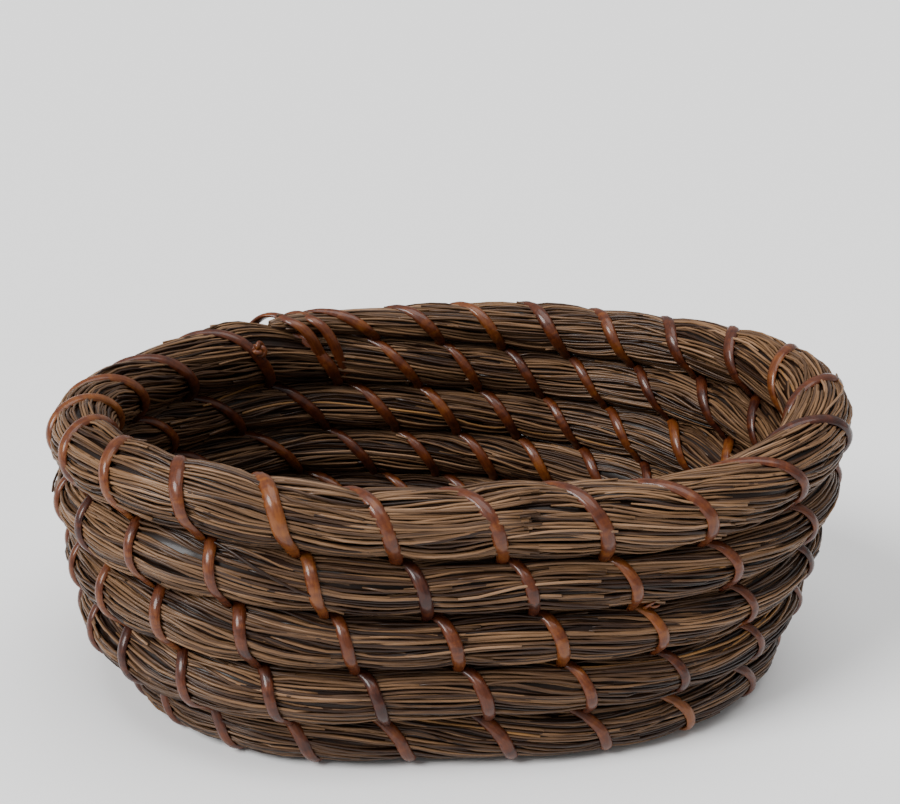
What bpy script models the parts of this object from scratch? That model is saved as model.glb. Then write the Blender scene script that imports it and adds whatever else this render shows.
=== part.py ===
"""Oval basket coiled from pine needles.

One bundle of needles winds from a straight start in the middle of the base, out across the oval
base and up five wall courses to a thin tail on the rim. Strands of split leaf wind round the
bundle, and every loop of a strand is sewn through the course that the bundle lies against.
The basket stands on the floor at zero height, its length along X, its front towards -Y.
"""

import math

import bmesh
import bpy
import numpy as np

MM = 0.001

# Bundle of needles: a flat towards the course on each side of it, one along its outer side that
# widens from the base to the wall, and an edge along its inner side
BUNDLE_HEIGHT = 15.0 * MM
BUNDLE_WIDTH = 17.4 * MM
BUNDLE_FLAT = 8.4 * MM
BUNDLE_SIDE = 6.2 * MM
START_SIZE_SHARE = 0.62
START_TAPER_TURNS = 0.5
TAIL_SIZE_SHARE = 0.3
TAIL_TAPER_TURNS = 0.22

# Outer flat: how wide it is under the base, how wide a bend makes it, and the turns past the base
# between which it reaches its full width
BASE_SIDE_SHARE = 0.16
BENT_SIDE_SHARE = 0.62
SIDE_GROWTH_SHARES = (0.7, 1.1)

# Strand that sews the courses together, and the slot it passes through
STRAND_WIDTH = 3.0 * MM
STRAND_THICKNESS = 1.1 * MM
CLEARANCE = 0.5 * MM
SLOT_DEPTH = 2.6 * MM
SLOT_OVERRUN = 2.0 * MM
FOOT_CUT = 0.5 * MM

# Oval outline: two half rounds about the ends of a straight core
CORE_HALF_LENGTH = 19.5 * MM
EVEN_STITCH_RADIUS = 72.0 * MM
RAYS_PER_TURN = 30
BASE_TURNS = 3.6
WALL_TURNS = 5
START_RADIUS_SHARE = 0.19
START_PLACE_SHARE = 0.054

# Angle in degrees that each course leans out from standing on the one below, from the foot up
COURSE_LEANS = (92.0, 10.5, 4.5, 4.6, -2.3)

# How the lean and the height of the courses differ round the oval, as waves in the outward angle:
# times round, place of the crest in degrees, and degrees of lean or share of the height
LEAN_WAVES = ((1, 58.0, 4.0), (2, 4.0, 4.0), (3, -40.0, 3.1))
SWELL_WAVE_SHARES = ((2, 6.0, 0.075), (3, -11.0, 0.034))
FIRST_COURSE_LEAN_SHARE = 0.7
TOP_COURSE_LEAN_SHARE = 0.6

# Stitches, their places and pitches as shares of a turn; the first wall stitch as a share of its pitch
FIRST_STITCH_SHARE = 1.36
BASE_STITCH_SHARE = 0.0879
WALL_STITCH_SHARE = 0.04287
FIRST_WALL_STITCH_SHARE = 0.58
UNSEWN_TAIL_SHARE = 0.1

# How far each corner of a loop runs ahead along the bundle, as shares of the pitch
LOOP_SHARES = (-0.44, -0.14, -0.08, -0.03, 0.0, 0.0, 0.08)
LOOPS_PER_STRAND = 12
BREAK_SHARES = (4.46, 4.54)

# Edges that turn less than this angle in degrees are shaded round
SHARP_ANGLE = 65.0

COURSE_GAP = STRAND_THICKNESS + 2 * CLEARANCE
BUNDLE_END = BASE_TURNS + WALL_TURNS
RINGS = round(BUNDLE_END * RAYS_PER_TURN) + 1
CORNERS = len(LOOP_SHARES)
INTO_SLOT = math.floor(BREAK_SHARES[0])


def clear_scene():
    for item in list(bpy.data.objects):
        bpy.data.objects.remove(item, do_unlink=True)


def make_material(name, colour, roughness):
    material = bpy.data.materials.new(name)
    material.use_nodes = True
    shader = material.node_tree.nodes["Principled BSDF"]
    shader.inputs["Base Color"].default_value = (*colour, 1.0)
    shader.inputs["Roughness"].default_value = roughness
    shader.inputs["Metallic"].default_value = 0.0
    return material


def place_ray(index):
    """Point on the core and outward angle at one ring, walked round evenly from the front left."""
    quarter = math.pi / 2 * EVEN_STITCH_RADIUS
    straight = 2 * CORE_HALF_LENGTH
    outline = 2 * straight + 4 * quarter
    walked = (index / RAYS_PER_TURN + START_PLACE_SHARE) % 1.0 * outline
    if walked < straight:
        return walked - CORE_HALF_LENGTH, -math.pi / 2
    walked -= straight
    if walked < 2 * quarter:
        return CORE_HALF_LENGTH, walked / EVEN_STITCH_RADIUS - math.pi / 2
    walked -= 2 * quarter
    if walked < straight:
        return CORE_HALF_LENGTH - walked, math.pi / 2
    walked -= straight
    return -CORE_HALF_LENGTH, walked / EVEN_STITCH_RADIUS + math.pi / 2


def add_waves(waves, angle):
    """Sum of waves round the oval at one outward angle."""
    return sum(size * math.cos(times * (angle - math.radians(crest))) for times, crest, size in waves)


def swell(angle):
    """Height of the bundle against its named height, a little fuller round the ends."""
    return 1 + add_waves(SWELL_WAVE_SHARES, angle)


def bundle_share(index):
    """How full the bundle is: thin at its start, full along its length, thin again at the tail."""
    turn = index / RAYS_PER_TURN
    start = START_SIZE_SHARE + (1 - START_SIZE_SHARE) * min(turn / START_TAPER_TURNS, 1)
    tail = TAIL_SIZE_SHARE + (1 - TAIL_SIZE_SHARE) * min((BUNDLE_END - turn) / TAIL_TAPER_TURNS, 1)
    return min(start, tail)


def course_lean(index, angle):
    """Angle from upright of the way up from the course below to the bundle at one ring."""
    middle = index / RAYS_PER_TURN - BASE_TURNS - 0.5
    lean = np.interp(middle, range(-1, WALL_TURNS), (90.0, *COURSE_LEANS))
    waves = np.interp(middle, (0, 1, 2, WALL_TURNS - 1), (0, FIRST_COURSE_LEAN_SHARE, 1, TOP_COURSE_LEAN_SHARE))
    return math.radians(lean + waves * add_waves(LEAN_WAVES, angle))


def lay_courses():
    """Core point, outward angle and (out from the core, height) of the bundle's middle at each ring."""
    rays = [place_ray(index) for index in range(RINGS)]
    middles = []
    for index, (core, angle) in enumerate(rays):
        spacing = BUNDLE_HEIGHT * swell(angle) + COURSE_GAP
        turn = index / RAYS_PER_TURN
        if index < RAYS_PER_TURN:
            middles.append(np.array((spacing * (START_RADIUS_SHARE + turn), 0.0)))
            continue
        if turn > WALL_TURNS:
            spacing -= BUNDLE_HEIGHT / 2 * swell(angle) * (1 - bundle_share(index))
        lean = course_lean(index, angle)
        step = np.array((math.sin(lean), math.cos(lean)))
        middles.append(middles[index - RAYS_PER_TURN] + spacing * step)
    return rays, middles


def meet(point_a, way_a, point_b, way_b):
    """Where two lines in the plane of a ring cross."""
    cross = way_a[0] * way_b[1] - way_a[1] * way_b[0]
    gap = point_b - point_a
    return point_a + way_a * (gap[0] * way_b[1] - gap[1] * way_b[0]) / cross


def cross_section(corners, start, way):
    """Where a line enters and leaves a bundle's section, against its way and along it."""
    normal = np.array((-way[1], way[0]))
    points = []
    for corner, after in zip(corners, corners[1:] + corners[:1]):
        side, other = (corner - start) @ normal, (after - start) @ normal
        if side * other < 0:
            points.append(corner + (after - corner) * side / (side - other))
    return sorted(points, key=lambda point: float((point - start) @ way))


def offset_loop(points, distance):
    """A closed loop moved outward by one distance, corner by corner."""
    count = len(points)
    lines = []
    for index in range(count):
        way = points[(index + 1) % count] - points[index]
        way = way / np.linalg.norm(way)
        lines.append((points[index] + distance * np.array((-way[1], way[0])), way))
    return [meet(*lines[index - 1], *lines[index]) for index in range(count)]


def unit(vector):
    return vector / np.linalg.norm(vector)


def shape_sections(rays, middles):
    """Seven corners of the bundle at each ring, clockwise from the inside end of its upper flat."""
    sections = []
    for index, middle in enumerate(middles):
        below = middles[index - RAYS_PER_TURN] - middle if index >= RAYS_PER_TURN else None
        above = middles[index + RAYS_PER_TURN] - middle if index + RAYS_PER_TURN < RINGS else None
        up = unit(above) if above is not None else -unit(below)
        down = unit(below) if below is not None else -up
        out_above = np.array((up[1], -up[0]))
        out_below = np.array((-down[1], down[0]))
        out = unit(out_above + out_below)
        share = bundle_share(index)
        height = BUNDLE_HEIGHT / 2 * swell(rays[index][1]) * share
        flat = BUNDLE_FLAT / 2 * share
        width = BUNDLE_WIDTH / 2 * share
        bend = math.acos(min(float(out_above @ out_below), 1.0))
        grown = np.interp(index / RAYS_PER_TURN - BASE_TURNS, SIDE_GROWTH_SHARES, (BASE_SIDE_SHARE, 1))
        half_side = max(BUNDLE_SIDE / 2 * share * grown, width * BENT_SIDE_SHARE * math.tan(bend / 4))
        side = half_side * np.array((-out[1], out[0]))
        corners = (-flat * out_above + height * up, flat * out_above + height * up,
                   width * out + side, width * out - side,
                   flat * out_below + height * down, -flat * out_below + height * down, -width * out)
        sections.append([middle + corner for corner in corners])
    return sections


def shape_loops(rays, middles, sections):
    """Corners of a strand's loop at each ring, on its inner and outer side, and of the slot below."""
    half = STRAND_THICKNESS / 2
    loops = np.zeros((RINGS, 2, CORNERS, 3))
    slots = np.zeros((RINGS, 4, 3))
    for index in range(RAYS_PER_TURN, RINGS):
        ray = rays[index]
        own = offset_loop(sections[index], CLEARANCE + half)
        lower = sections[index - RAYS_PER_TURN]
        up = unit(middles[index] - middles[index - RAYS_PER_TURN])
        across = np.array((up[1], -up[0]))
        slot = (lower[0] + lower[1]) / 2 - SLOT_DEPTH * up
        out_of, into = cross_section(lower, slot, across)
        path = [*own[:INTO_SLOT], into + half * across, out_of, *own[INTO_SLOT + 2:]]
        for side, distance in enumerate((-half, half)):
            loops[index, side] = [lift(ray, corner) for corner in offset_loop(path, distance)]
        length = (BUNDLE_WIDTH / 2 + SLOT_OVERRUN) * across
        height = (half + CLEARANCE) * up
        corners = (slot - length - height, slot + length - height, slot + length + height,
                   slot - length + height)
        slots[index] = [lift(ray, corner) for corner in corners]
    return loops, slots


def lift(ray, point):
    """A point in the plane of a ring, as a point in space."""
    core, angle = ray
    return np.array((core + point[0] * math.cos(angle), point[0] * math.sin(angle), point[1]))


def between_rings(values, place):
    """A value that runs straight from ring to ring, read part of the way between two rings."""
    ring = min(int(math.floor(place)), RINGS - 2)
    share = place - ring
    return values[ring] * (1 - share) + values[ring + 1] * share


def make_tube(name, rings):
    """Mesh of a closed tube through rings of corners, with a flat cap on each end."""
    shape = bmesh.new()
    rows = [[shape.verts.new(corner) for corner in ring] for ring in rings]
    sides = len(rows[0])
    for row, after in zip(rows, rows[1:]):
        for side in range(sides):
            other = (side + 1) % sides
            shape.faces.new((row[side], row[other], after[other], after[side]))
    shape.faces.new(rows[0])
    shape.faces.new(reversed(rows[-1]))
    bmesh.ops.recalc_face_normals(shape, faces=shape.faces)
    mesh = bpy.data.meshes.new(name)
    shape.to_mesh(mesh)
    shape.free()
    return mesh


def add_object(name, mesh, material):
    if material:
        mesh.materials.append(material)
        mesh.shade_smooth()
        mesh.set_sharp_from_angle(angle=math.radians(SHARP_ANGLE))
    item = bpy.data.objects.new(name, mesh)
    bpy.context.scene.collection.objects.link(item)
    return item


def list_stitches():
    """Ring places where the loops pass through the course below, in sewing order."""
    base_pitch = RAYS_PER_TURN * BASE_STITCH_SHARE
    wall_pitch = RAYS_PER_TURN * WALL_STITCH_SHARE
    stitches = list(np.arange(FIRST_STITCH_SHARE * RAYS_PER_TURN, BASE_TURNS * RAYS_PER_TURN, base_pitch))
    below = min(place for place in stitches if place > (BASE_TURNS - 1) * RAYS_PER_TURN)
    first = below + RAYS_PER_TURN + FIRST_WALL_STITCH_SHARE * wall_pitch
    last = (BUNDLE_END - UNSEWN_TAIL_SHARE) * RAYS_PER_TURN
    return stitches + list(np.arange(first, last, wall_pitch))


def list_strand_path(stitches, first, last):
    """Ring place and loop corner at each bend of a strand, from inside one slot to inside another."""
    path = [(stitches[first], BREAK_SHARES[1])]
    for stitch in range(first, last + 1):
        near = stitches[max(stitch - 1, 0):stitch + 2]
        pitch = min(np.diff(near))
        corner_turn = CORNERS * (stitch - first)
        for corner, share in enumerate(LOOP_SHARES):
            if corner_turn + corner > INTO_SLOT:
                path.append((stitches[stitch] + share * pitch, corner_turn + corner))
    path = [bend for bend in path if bend[1] <= CORNERS * (last - first) + INTO_SLOT]
    path.append((stitches[last], CORNERS * (last - first) + BREAK_SHARES[0]))
    full = [path[0]]
    for (place, corner), (next_place, next_corner) in zip(path, path[1:]):
        for ring in range(math.floor(place) + 1, math.ceil(next_place)):
            share = (ring - place) / (next_place - place)
            full.append((ring, corner + share * (next_corner - corner)))
        full.append((next_place, next_corner))
    return full


def make_strand(name, loops, path):
    """A flat strip laid along its path round the bundle, as wide everywhere as the strand."""
    rings = []
    for place, corner in path:
        side = int(corner) % CORNERS
        share = corner - int(corner)
        edge = loops[:, :, side] * (1 - share) + loops[:, :, (side + 1) % CORNERS] * share
        ring = min(int(place), RINGS - 2)
        reach = STRAND_WIDTH / 2 / np.linalg.norm(edge[ring + 1, 0] - edge[ring, 0])
        before = between_rings(edge, place - reach)
        after = between_rings(edge, place + reach)
        rings.append((before[0], after[0], after[1], before[1]))
    return make_tube(name, rings)


def cut_foot(mesh, floor):
    """Cut a strand flat where it stands on the floor."""
    shape = bmesh.new()
    shape.from_mesh(mesh)
    geometry = shape.verts[:] + shape.edges[:] + shape.faces[:]
    cut = bmesh.ops.bisect_plane(shape, geom=geometry, plane_co=(0, 0, floor), plane_no=(0, 0, -1),
                                 clear_outer=True)
    edges = [piece for piece in cut["geom_cut"] if isinstance(piece, bmesh.types.BMEdge)]
    if edges:
        bmesh.ops.holes_fill(shape, edges=edges, sides=0)
        bmesh.ops.recalc_face_normals(shape, faces=shape.faces)
    shape.to_mesh(mesh)
    shape.free()


def make_slots(slots, stitches):
    """One cutter for every place where a strand passes through the bundle."""
    shape = bmesh.new()
    for place in stitches:
        ring = int(place)
        steps = np.linalg.norm(slots[ring + 1] - slots[ring], axis=1)
        reaches = (STRAND_WIDTH / 2 + CLEARANCE) / steps
        ends = [[between_rings(slots[:, corner], place + way * reach) for corner, reach in enumerate(reaches)]
                for way in (-1, 1)]
        piece = make_tube("slot", ends)
        shape.from_mesh(piece)
        bpy.data.meshes.remove(piece)
    mesh = bpy.data.meshes.new("slots")
    shape.to_mesh(mesh)
    shape.free()
    cutter = add_object("slots", mesh, None)
    cutter.hide_render = True
    cutter.display_type = "WIRE"
    return cutter


def least_gap(rings):
    """Least distance between points of the bundle that lie more than a third of a turn apart."""
    samples = 4
    places = np.arange(0, RINGS - 1, 1 / samples)
    points = []
    for place in places:
        corners = between_rings(rings, place)
        points.append(np.concatenate([corners, (corners + np.roll(corners, -1, axis=0)) / 2]))
    points = np.array(points)
    apart = samples * RAYS_PER_TURN // 3
    least = math.inf
    for index in range(len(points) - apart):
        other = points[index + apart:].reshape(-1, 3)
        gaps = np.linalg.norm(points[index][:, None] - other[None], axis=2)
        least = min(least, gaps.min())
    return least


def stand_on_floor(floor):
    """Move everything so that its foot is at zero height and its outline is centred on the origin."""
    shown = [item for item in bpy.context.scene.objects if not item.hide_render]
    points = np.array([vertex.co for item in shown for vertex in item.data.vertices])
    middle = (points.min(axis=0) + points.max(axis=0)) / 2
    for item in bpy.context.scene.objects:
        item.location = (-middle[0], -middle[1], -floor)


def main():
    clear_scene()
    needles = make_material("pine needles", (0.30, 0.19, 0.11), 0.55)
    leaf = make_material("split leaf", (0.32, 0.11, 0.04), 0.32)

    rays, middles = lay_courses()
    sections = shape_sections(rays, middles)
    rings = np.array([[lift(ray, corner) for corner in section] for ray, section in zip(rays, sections)])
    loops, slots = shape_loops(rays, middles, sections)
    base_rings = int(BASE_TURNS * RAYS_PER_TURN)
    floor = loops[RAYS_PER_TURN:base_rings, 1, :, 2].min() + FOOT_CUT
    stitches = list_stitches()

    coil = add_object("needle_coil", make_tube("needle_coil", rings), needles)
    cutter = make_slots(slots, stitches)
    boolean = coil.modifiers.new("strand slots", "BOOLEAN")
    boolean.operation = "DIFFERENCE"
    boolean.solver = "EXACT"
    boolean.object = cutter

    first = 0
    number = 1
    while first < len(stitches) - 1:
        last = min(first + LOOPS_PER_STRAND, len(stitches) - 1)
        if len(stitches) - 1 - last < LOOPS_PER_STRAND / 3:
            last = len(stitches) - 1
        name = f"strand_{number:02d}"
        mesh = make_strand(name, loops, list_strand_path(stitches, first, last))
        cut_foot(mesh, floor)
        add_object(name, mesh, leaf)
        first = last
        number += 1

    stand_on_floor(floor)
    print(f"least gap of the bundle to itself: {least_gap(rings) / MM:.2f} mm")
    print(f"stitches: {len(stitches)}, strands: {number - 1}")


main()
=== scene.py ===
"""Coiled pine needle basket: single needles, sewing strands and knots laid over the solid model.

The bundle of needles follows the solid coil: flat rounds for the oval base, then courses stacked
into the wall, ending in a thin tail on the rim. Each sewing strand winds round the bundle and is
sewn through the course below it. Lengths are in metres, the front of the basket faces -Y.
"""

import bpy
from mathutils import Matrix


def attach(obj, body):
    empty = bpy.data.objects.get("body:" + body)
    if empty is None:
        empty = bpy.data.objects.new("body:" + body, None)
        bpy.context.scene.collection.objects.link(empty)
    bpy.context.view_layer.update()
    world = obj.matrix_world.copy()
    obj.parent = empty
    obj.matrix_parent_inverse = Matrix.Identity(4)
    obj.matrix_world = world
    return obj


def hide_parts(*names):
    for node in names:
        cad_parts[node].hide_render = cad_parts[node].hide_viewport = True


bl_info = {
    "name": "Coiled Pine Needle Basket",
    "version": (1, 0, 0),
    "blender": (4, 5, 0),
    "location": "3D View > Sidebar > Basket",
    "description": "Lays pine needles and sewing strands over the solid model of a coiled basket",
    "category": "Add Mesh",
}

import math

import bpy
import numpy as np
from bpy.props import FloatProperty, FloatVectorProperty, IntProperty, PointerProperty
from bpy.types import Operator, Panel, PropertyGroup
from mathutils import Matrix, Vector

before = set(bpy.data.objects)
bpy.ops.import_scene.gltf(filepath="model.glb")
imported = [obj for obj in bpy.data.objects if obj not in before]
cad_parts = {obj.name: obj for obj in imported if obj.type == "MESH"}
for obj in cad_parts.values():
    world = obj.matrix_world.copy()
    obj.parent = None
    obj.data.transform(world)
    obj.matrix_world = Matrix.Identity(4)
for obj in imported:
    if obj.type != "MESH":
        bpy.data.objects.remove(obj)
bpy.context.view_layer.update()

MM = 0.001
TURN = 2 * math.pi

# Coil: the same driving sizes as the solid model, but for the first run and the thin tail
BUNDLE_HEIGHT = 15.0 * MM
BUNDLE_WIDTH = 17.4 * MM
COURSE_GAP = 2.1 * MM
CORE_HALF_LENGTH = 19.5 * MM
EVEN_STITCH_RADIUS = 72.0 * MM
BASE_TURNS = 3.6
WALL_TURNS = 5
COIL_TURNS = BASE_TURNS + WALL_TURNS
START_RADIUS_SHARE = 0.19
START_PLACE_SHARE = 0.054
START_SIZE_SHARE = 0.62
START_TAPER_TURNS = 0.5
LEAD_LENGTH = 38.0 * MM
TAIL_SIZE_SHARE = 0.3
TAIL_TAPER_TURNS = 0.17
TAIL_END_TURN = 8.575
COURSE_LEANS = (92.0, 10.5, 4.5, 4.6, -2.3)
LEAN_WAVES = ((1, 58.0, 4.0), (2, 4.0, 4.0), (3, -40.0, 3.1))
SWELL_WAVE_SHARES = ((2, 6.0, 0.075), (3, -11.0, 0.034))
FIRST_COURSE_LEAN_SHARE = 0.7
TOP_COURSE_LEAN_SHARE = 0.6
COIL_PLACE = (-1.376 * MM, -4.681 * MM, 10.028 * MM)
SAMPLES_PER_TURN = 120

# Where the rim is thicker: turn, spread in turns, and how much is added round the bundle
THICK_PLACES = ((8.03, 0.115, 1.9 * MM), (7.6, 0.035, 1.7 * MM))

# Sewing: places of the stitches along the coil
BASE_STITCHES_PER_TURN = 11.376
FIRST_STITCH_TURN = 1.36
WALL_STITCHES_PER_TURN = 23.325
WALL_STITCH_START = 0.32
WALL_STITCH_WAVES = ((1, -40.7, 0.179), (2, -28.7, 0.408), (3, -48.3, 0.152), (4, 22.1, 0.066))
LAST_STITCH_TURN = 8.562

# The stitch under the tail sits a little further on: its turn, and how far in turns
TIED_STITCH_TURN = 7.54
TIED_STITCH_MOVE = 0.0084

# Strands of the solid model: its first stitch in the wall, and loops to a strand
FIRST_WALL_STITCH_TURN = 3.703
LOOPS_PER_STRAND = 12

# One loop round the bundle: angle from outside over the top, and how far along the pitch it lies
LOOP_ANGLES = (-90, -60, 10, 60, 90, 130, 190, 240, 270)
WALL_LOOP_SHARES = (0.0, 0.0, -0.07, -0.17, -0.30, -0.55, -0.84, -1.0, -1.0)
RIM_LOOP_SHARES = (0.0, 0.0, -0.11, -0.27, -0.42, -0.61, -0.86, -1.0, -1.0)
RIM_LOOP_TURNS = 1.2
RIM_LOOP_BLEND = 0.3

# Swell of the bundle: least size, how much fuller between loops, how much less under a loop
WIDTH_SWELL = (0.975, 0.085, 0.03)
HEIGHT_SWELL = (1.05, 0.17, 0.04)
SWELL_POWER = 0.7
PINCH_REACH = 3.0 * MM

# Lay of the needles: twist round the bundle in radians per metre, waves that all share (size in
# radians, reach in metres, phase), waves of each needle's own, and stray slope
NEEDLE_TWIST = -8.5
SHARED_WAVES = ((0.30, 0.043, 0.0), (0.22, 0.019, 1.0))
OWN_WAVES = ((0.05, 0.021), (0.035, 0.009))
USUAL_SLOPE = 2.2

# How needles bunch away from loops and leave dark gaps: times round the bundle, size in radians, reach
BUNCHES = ((5, 0.055, 0.037), (8, 0.035, -0.023), (13, 0.022, 0.017))
FREE_REACH = 6 * MM

# Needle ends dive into the bundle, and cut ends rise from it by a range in millimetres
DIVE_DEPTH = 1.3 * MM
DIVE_REACH = 4 * MM
CUT_RISES = (0.1, 0.7)
CUT_RISE_REACH = 5 * MM
RIPPLE_HEIGHT = 0.12 * MM
RIPPLE_REACH = 0.013
NEEDLE_SIZE_SHARES = (0.82, 1.15)
NEEDLE_FLATNESS = 0.9
TIP_SHARE = 0.55
TIP_REACH = 9 * MM

# Layers of needles; ranges are in millimetres
OUTER_SIDES = 6
UNDER_SIDES = 4
UNDER_DEPTH = 0.95 * MM
LANE_STRAY = 0.2
LAYER_ANGLE = 0.07
CUT_CHANCE = 0.22
PAST_LOOP = (0.5, 7.0)
INSETS = (0.2, 0.75)
SPLICE_GAPS = (-6, 1.5)
LEAST_NEEDLE = 8 * MM
LEAST_REST = 6 * MM

# Loose needles, which lie from the second round of the base on; ranges are in millimetres
FIRST_LOOSE = 0.2
LAST_LOOSE = 0.06
LOOSE_LENGTHS = (22, 70)
LOOSE_PALER = 0.08
LOOSE_CUT_CHANCE = 0.5
LOOSE_SLOPE = 9.0
LOOSE_INSETS = (-0.35, 0.2)

# Bunches of needles cut off just past a stitch: turn and number; ranges are in millimetres
CUT_BUNCHES = ((7.993, 26), (8.1, 9), (7.03, 7))
BUNCH_PAST_STITCH = (1.0, 8.0)
BUNCH_LENGTHS = (30, 60)
BUNCH_PALER = 0.12
BUNCH_SLOPE = 3.0
BUNCH_DEGREES = (-45, 60)
BUNCH_INSETS = (-0.5, 0.1)

# Tints, from nearly black to yellow, and how much paler courses are, counted from the rim, as painted light:
# the rim course is painted paler where it is lit most, and lower courses and the base are painted darker as
# shade
TINT_RANGE = 1.6
MIDDLE_TINT = 0.50
TINT_SPREAD = 0.22
TINT_LIMITS = (0.06, 1.05)
PAINTED_LIGHT_BY_COURSE = ((0.9, 1.1, 2.2, 5.0), (0.06, 0.05, 0.0, -0.07))
GOLD_CHANCE = 0.006
GOLD_TINT = 1.45

# Core under the needles, tinted nearly black as painted shade in the gaps between them
CORE_SIDES = 20
CORE_DEPTH_SHARE = 0.2
CORE_LEAST_DEPTH = 1.0 * MM
CORE_LEAD_SHARE = 0.85
CORE_END_SAMPLES = 4
CORE_SHADE_TINT = 0.02
CORE_UV_PER_TURN = 5

# Section of a strand, as shares of its thickness and half width
DOME_SHARE = 0.7
DOME_EDGE = 0.96
GROOVES = 3
GROOVE_SHARE = 0.03
UNDERSIDE_SHARE = 0.7
UNDERSIDE_DEPTH_SHARE = 0.45

# Loops lie over the needles and dive where they are sewn; steps and spans are in degrees
LOOP_STEP = 8.0
LOOP_WIDE = 0.96
LOOP_HIGH = 0.99
LOOP_LIFT = 0.85 * MM
LOOP_LIFT_STRAY = (-0.1, 0.15)
LOOP_SIZES = (0.9, 1.06)
LOOP_SIZE_WAVE = 0.03
SEWN_FROM = 140
SEWN_SPAN = 40
SEWN_POWER = 1.5
SEWN_LIFT = 4.35 * MM
SEWN_SIZE = 0.72
# painted shade: the sewn part of each loop, down between the courses, is tinted darker
SEWN_PAINTED_SHADE = 0.12
RIM_TURNS = 1.1
RIM_BLEND_TURNS = 0.1
RIM_BROADER = 0.18
HUE_SPREAD = 0.1
HUE_LIMITS = (0.3, 0.8)
HUE_WAVE = 0.08

# Loops that tie the tail down: turn, and how much of both courses they span
BANDS = ((8.57, 1.0), (8.584, 0.8))
BAND_SLANT = 1.0
BAND_LIFT = -0.2 * MM
BAND_SIDE_POWER = 0.6
BAND_TOP_POWER = 0.9
BAND_TINTS = (0.5, 0.75)

# Knots: turn, and angle round the bundle in degrees
KNOTS = ((7.592, 150.0), (7.072, -62.0))
KNOT_SIZE = 0.72 * MM
KNOT_LIFT = 1.5 * MM
KNOT_WAY_TURNS = 0.002
KNOT_POINTS = 49
KNOT_STRAND_SHARE = 0.5
KNOT_TINT = 0.62

# Pattern places lengthwise, and how far each piece's pattern may be shifted
UV_PER_METRE = 10
UV_SHIFT = 50

# Fibre materials: noise, how strongly it shades, and gloss
TINT_SEEDS = 61.0
NOISE_ROUGHNESS = 0.6
BLOTCH_ACROSS = 0.6
GROOVE_ALONG_SHARE = 0.35
GROOVE_ACROSS_SHARE = 1.9
STREAK_STRENGTH = 0.55
BLOTCH_STRENGTH = 0.75
ROUGHNESS_SPREAD = 0.3
COAT_ROUGHNESS = 0.16
SPECULAR_LEVEL = 0.22
BUMP_STRENGTH = 0.6

# Stage: floor, suns (name, place, angle and power) and the room's light
FLOOR_REACH = 8.0
FLOOR_COLOUR = (0.9, 0.9, 0.9, 1)
FLOOR_ROUGHNESS = 0.8
LIGHTS = (("key", (-1.0, -0.5, 1.0), 0.5, 3.9), ("top", (0.1, -0.05, 1.3), 0.9, 2.1))
LIGHT_AIM_HEIGHT = 0.05
WORLD_STRENGTH = 0.45
SENSOR_WIDTH = 36
CLIP_START = 0.01


# Coil route

def add_waves(waves, angle):
    """Sum of waves round the oval at one angle, in radians."""
    return sum(size * np.cos(times * (angle - math.radians(crest))) for times, crest, size in waves)


def place_ray(turn):
    """Point on the core and outward angle at one turn, walked round evenly from the front left."""
    quarter = math.pi / 2 * EVEN_STITCH_RADIUS
    straight = 2 * CORE_HALF_LENGTH
    walked = (turn + START_PLACE_SHARE) % 1.0 * (2 * straight + 4 * quarter)
    if walked < straight:
        return walked - CORE_HALF_LENGTH, -math.pi / 2
    walked -= straight
    if walked < 2 * quarter:
        return CORE_HALF_LENGTH, walked / EVEN_STITCH_RADIUS - math.pi / 2
    walked -= 2 * quarter
    if walked < straight:
        return CORE_HALF_LENGTH - walked, math.pi / 2
    walked -= straight
    return -CORE_HALF_LENGTH, walked / EVEN_STITCH_RADIUS + math.pi / 2


def bundle_share(turn):
    """Size of the bundle at a turn, which is less at its start and in its tail."""
    start = START_SIZE_SHARE + (1 - START_SIZE_SHARE) * min(turn / START_TAPER_TURNS, 1)
    left = max(TAIL_END_TURN - turn, 0)
    tail = TAIL_SIZE_SHARE + (1 - TAIL_SIZE_SHARE) * min(left / TAIL_TAPER_TURNS, 1)
    return min(start, tail)


def course_lean(turn, angle):
    """Angle from upright of the way up from the course below."""
    middle = turn - BASE_TURNS - 0.5
    lean = np.interp(middle, range(-1, WALL_TURNS), (90.0, *COURSE_LEANS))
    shares = (0, FIRST_COURSE_LEAN_SHARE, 1, TOP_COURSE_LEAN_SHARE)
    waves = np.interp(middle, (0, 1, 2, WALL_TURNS - 1), shares)
    return math.radians(lean + waves * add_waves(LEAN_WAVES, angle))


def unit(vectors):
    """The same ways at length one."""
    return vectors / np.linalg.norm(vectors, axis=-1, keepdims=True)


def smooth(values, reach):
    """Running mean along the coil that keeps the ends where they are."""
    padded = np.concatenate([np.repeat(values[:1], reach, 0), values, np.repeat(values[-1:], reach, 0)])
    kernel = np.ones(2 * reach + 1) / (2 * reach + 1)
    columns = [np.convolve(column, kernel, "valid") for column in padded.reshape(len(padded), -1).T]
    return np.array(columns).T.reshape(values.shape)


def path_lengths(points):
    """Length along a path at each of its points."""
    return np.concatenate([[0], np.cumsum(np.linalg.norm(np.diff(points, axis=0), axis=1))])


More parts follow.
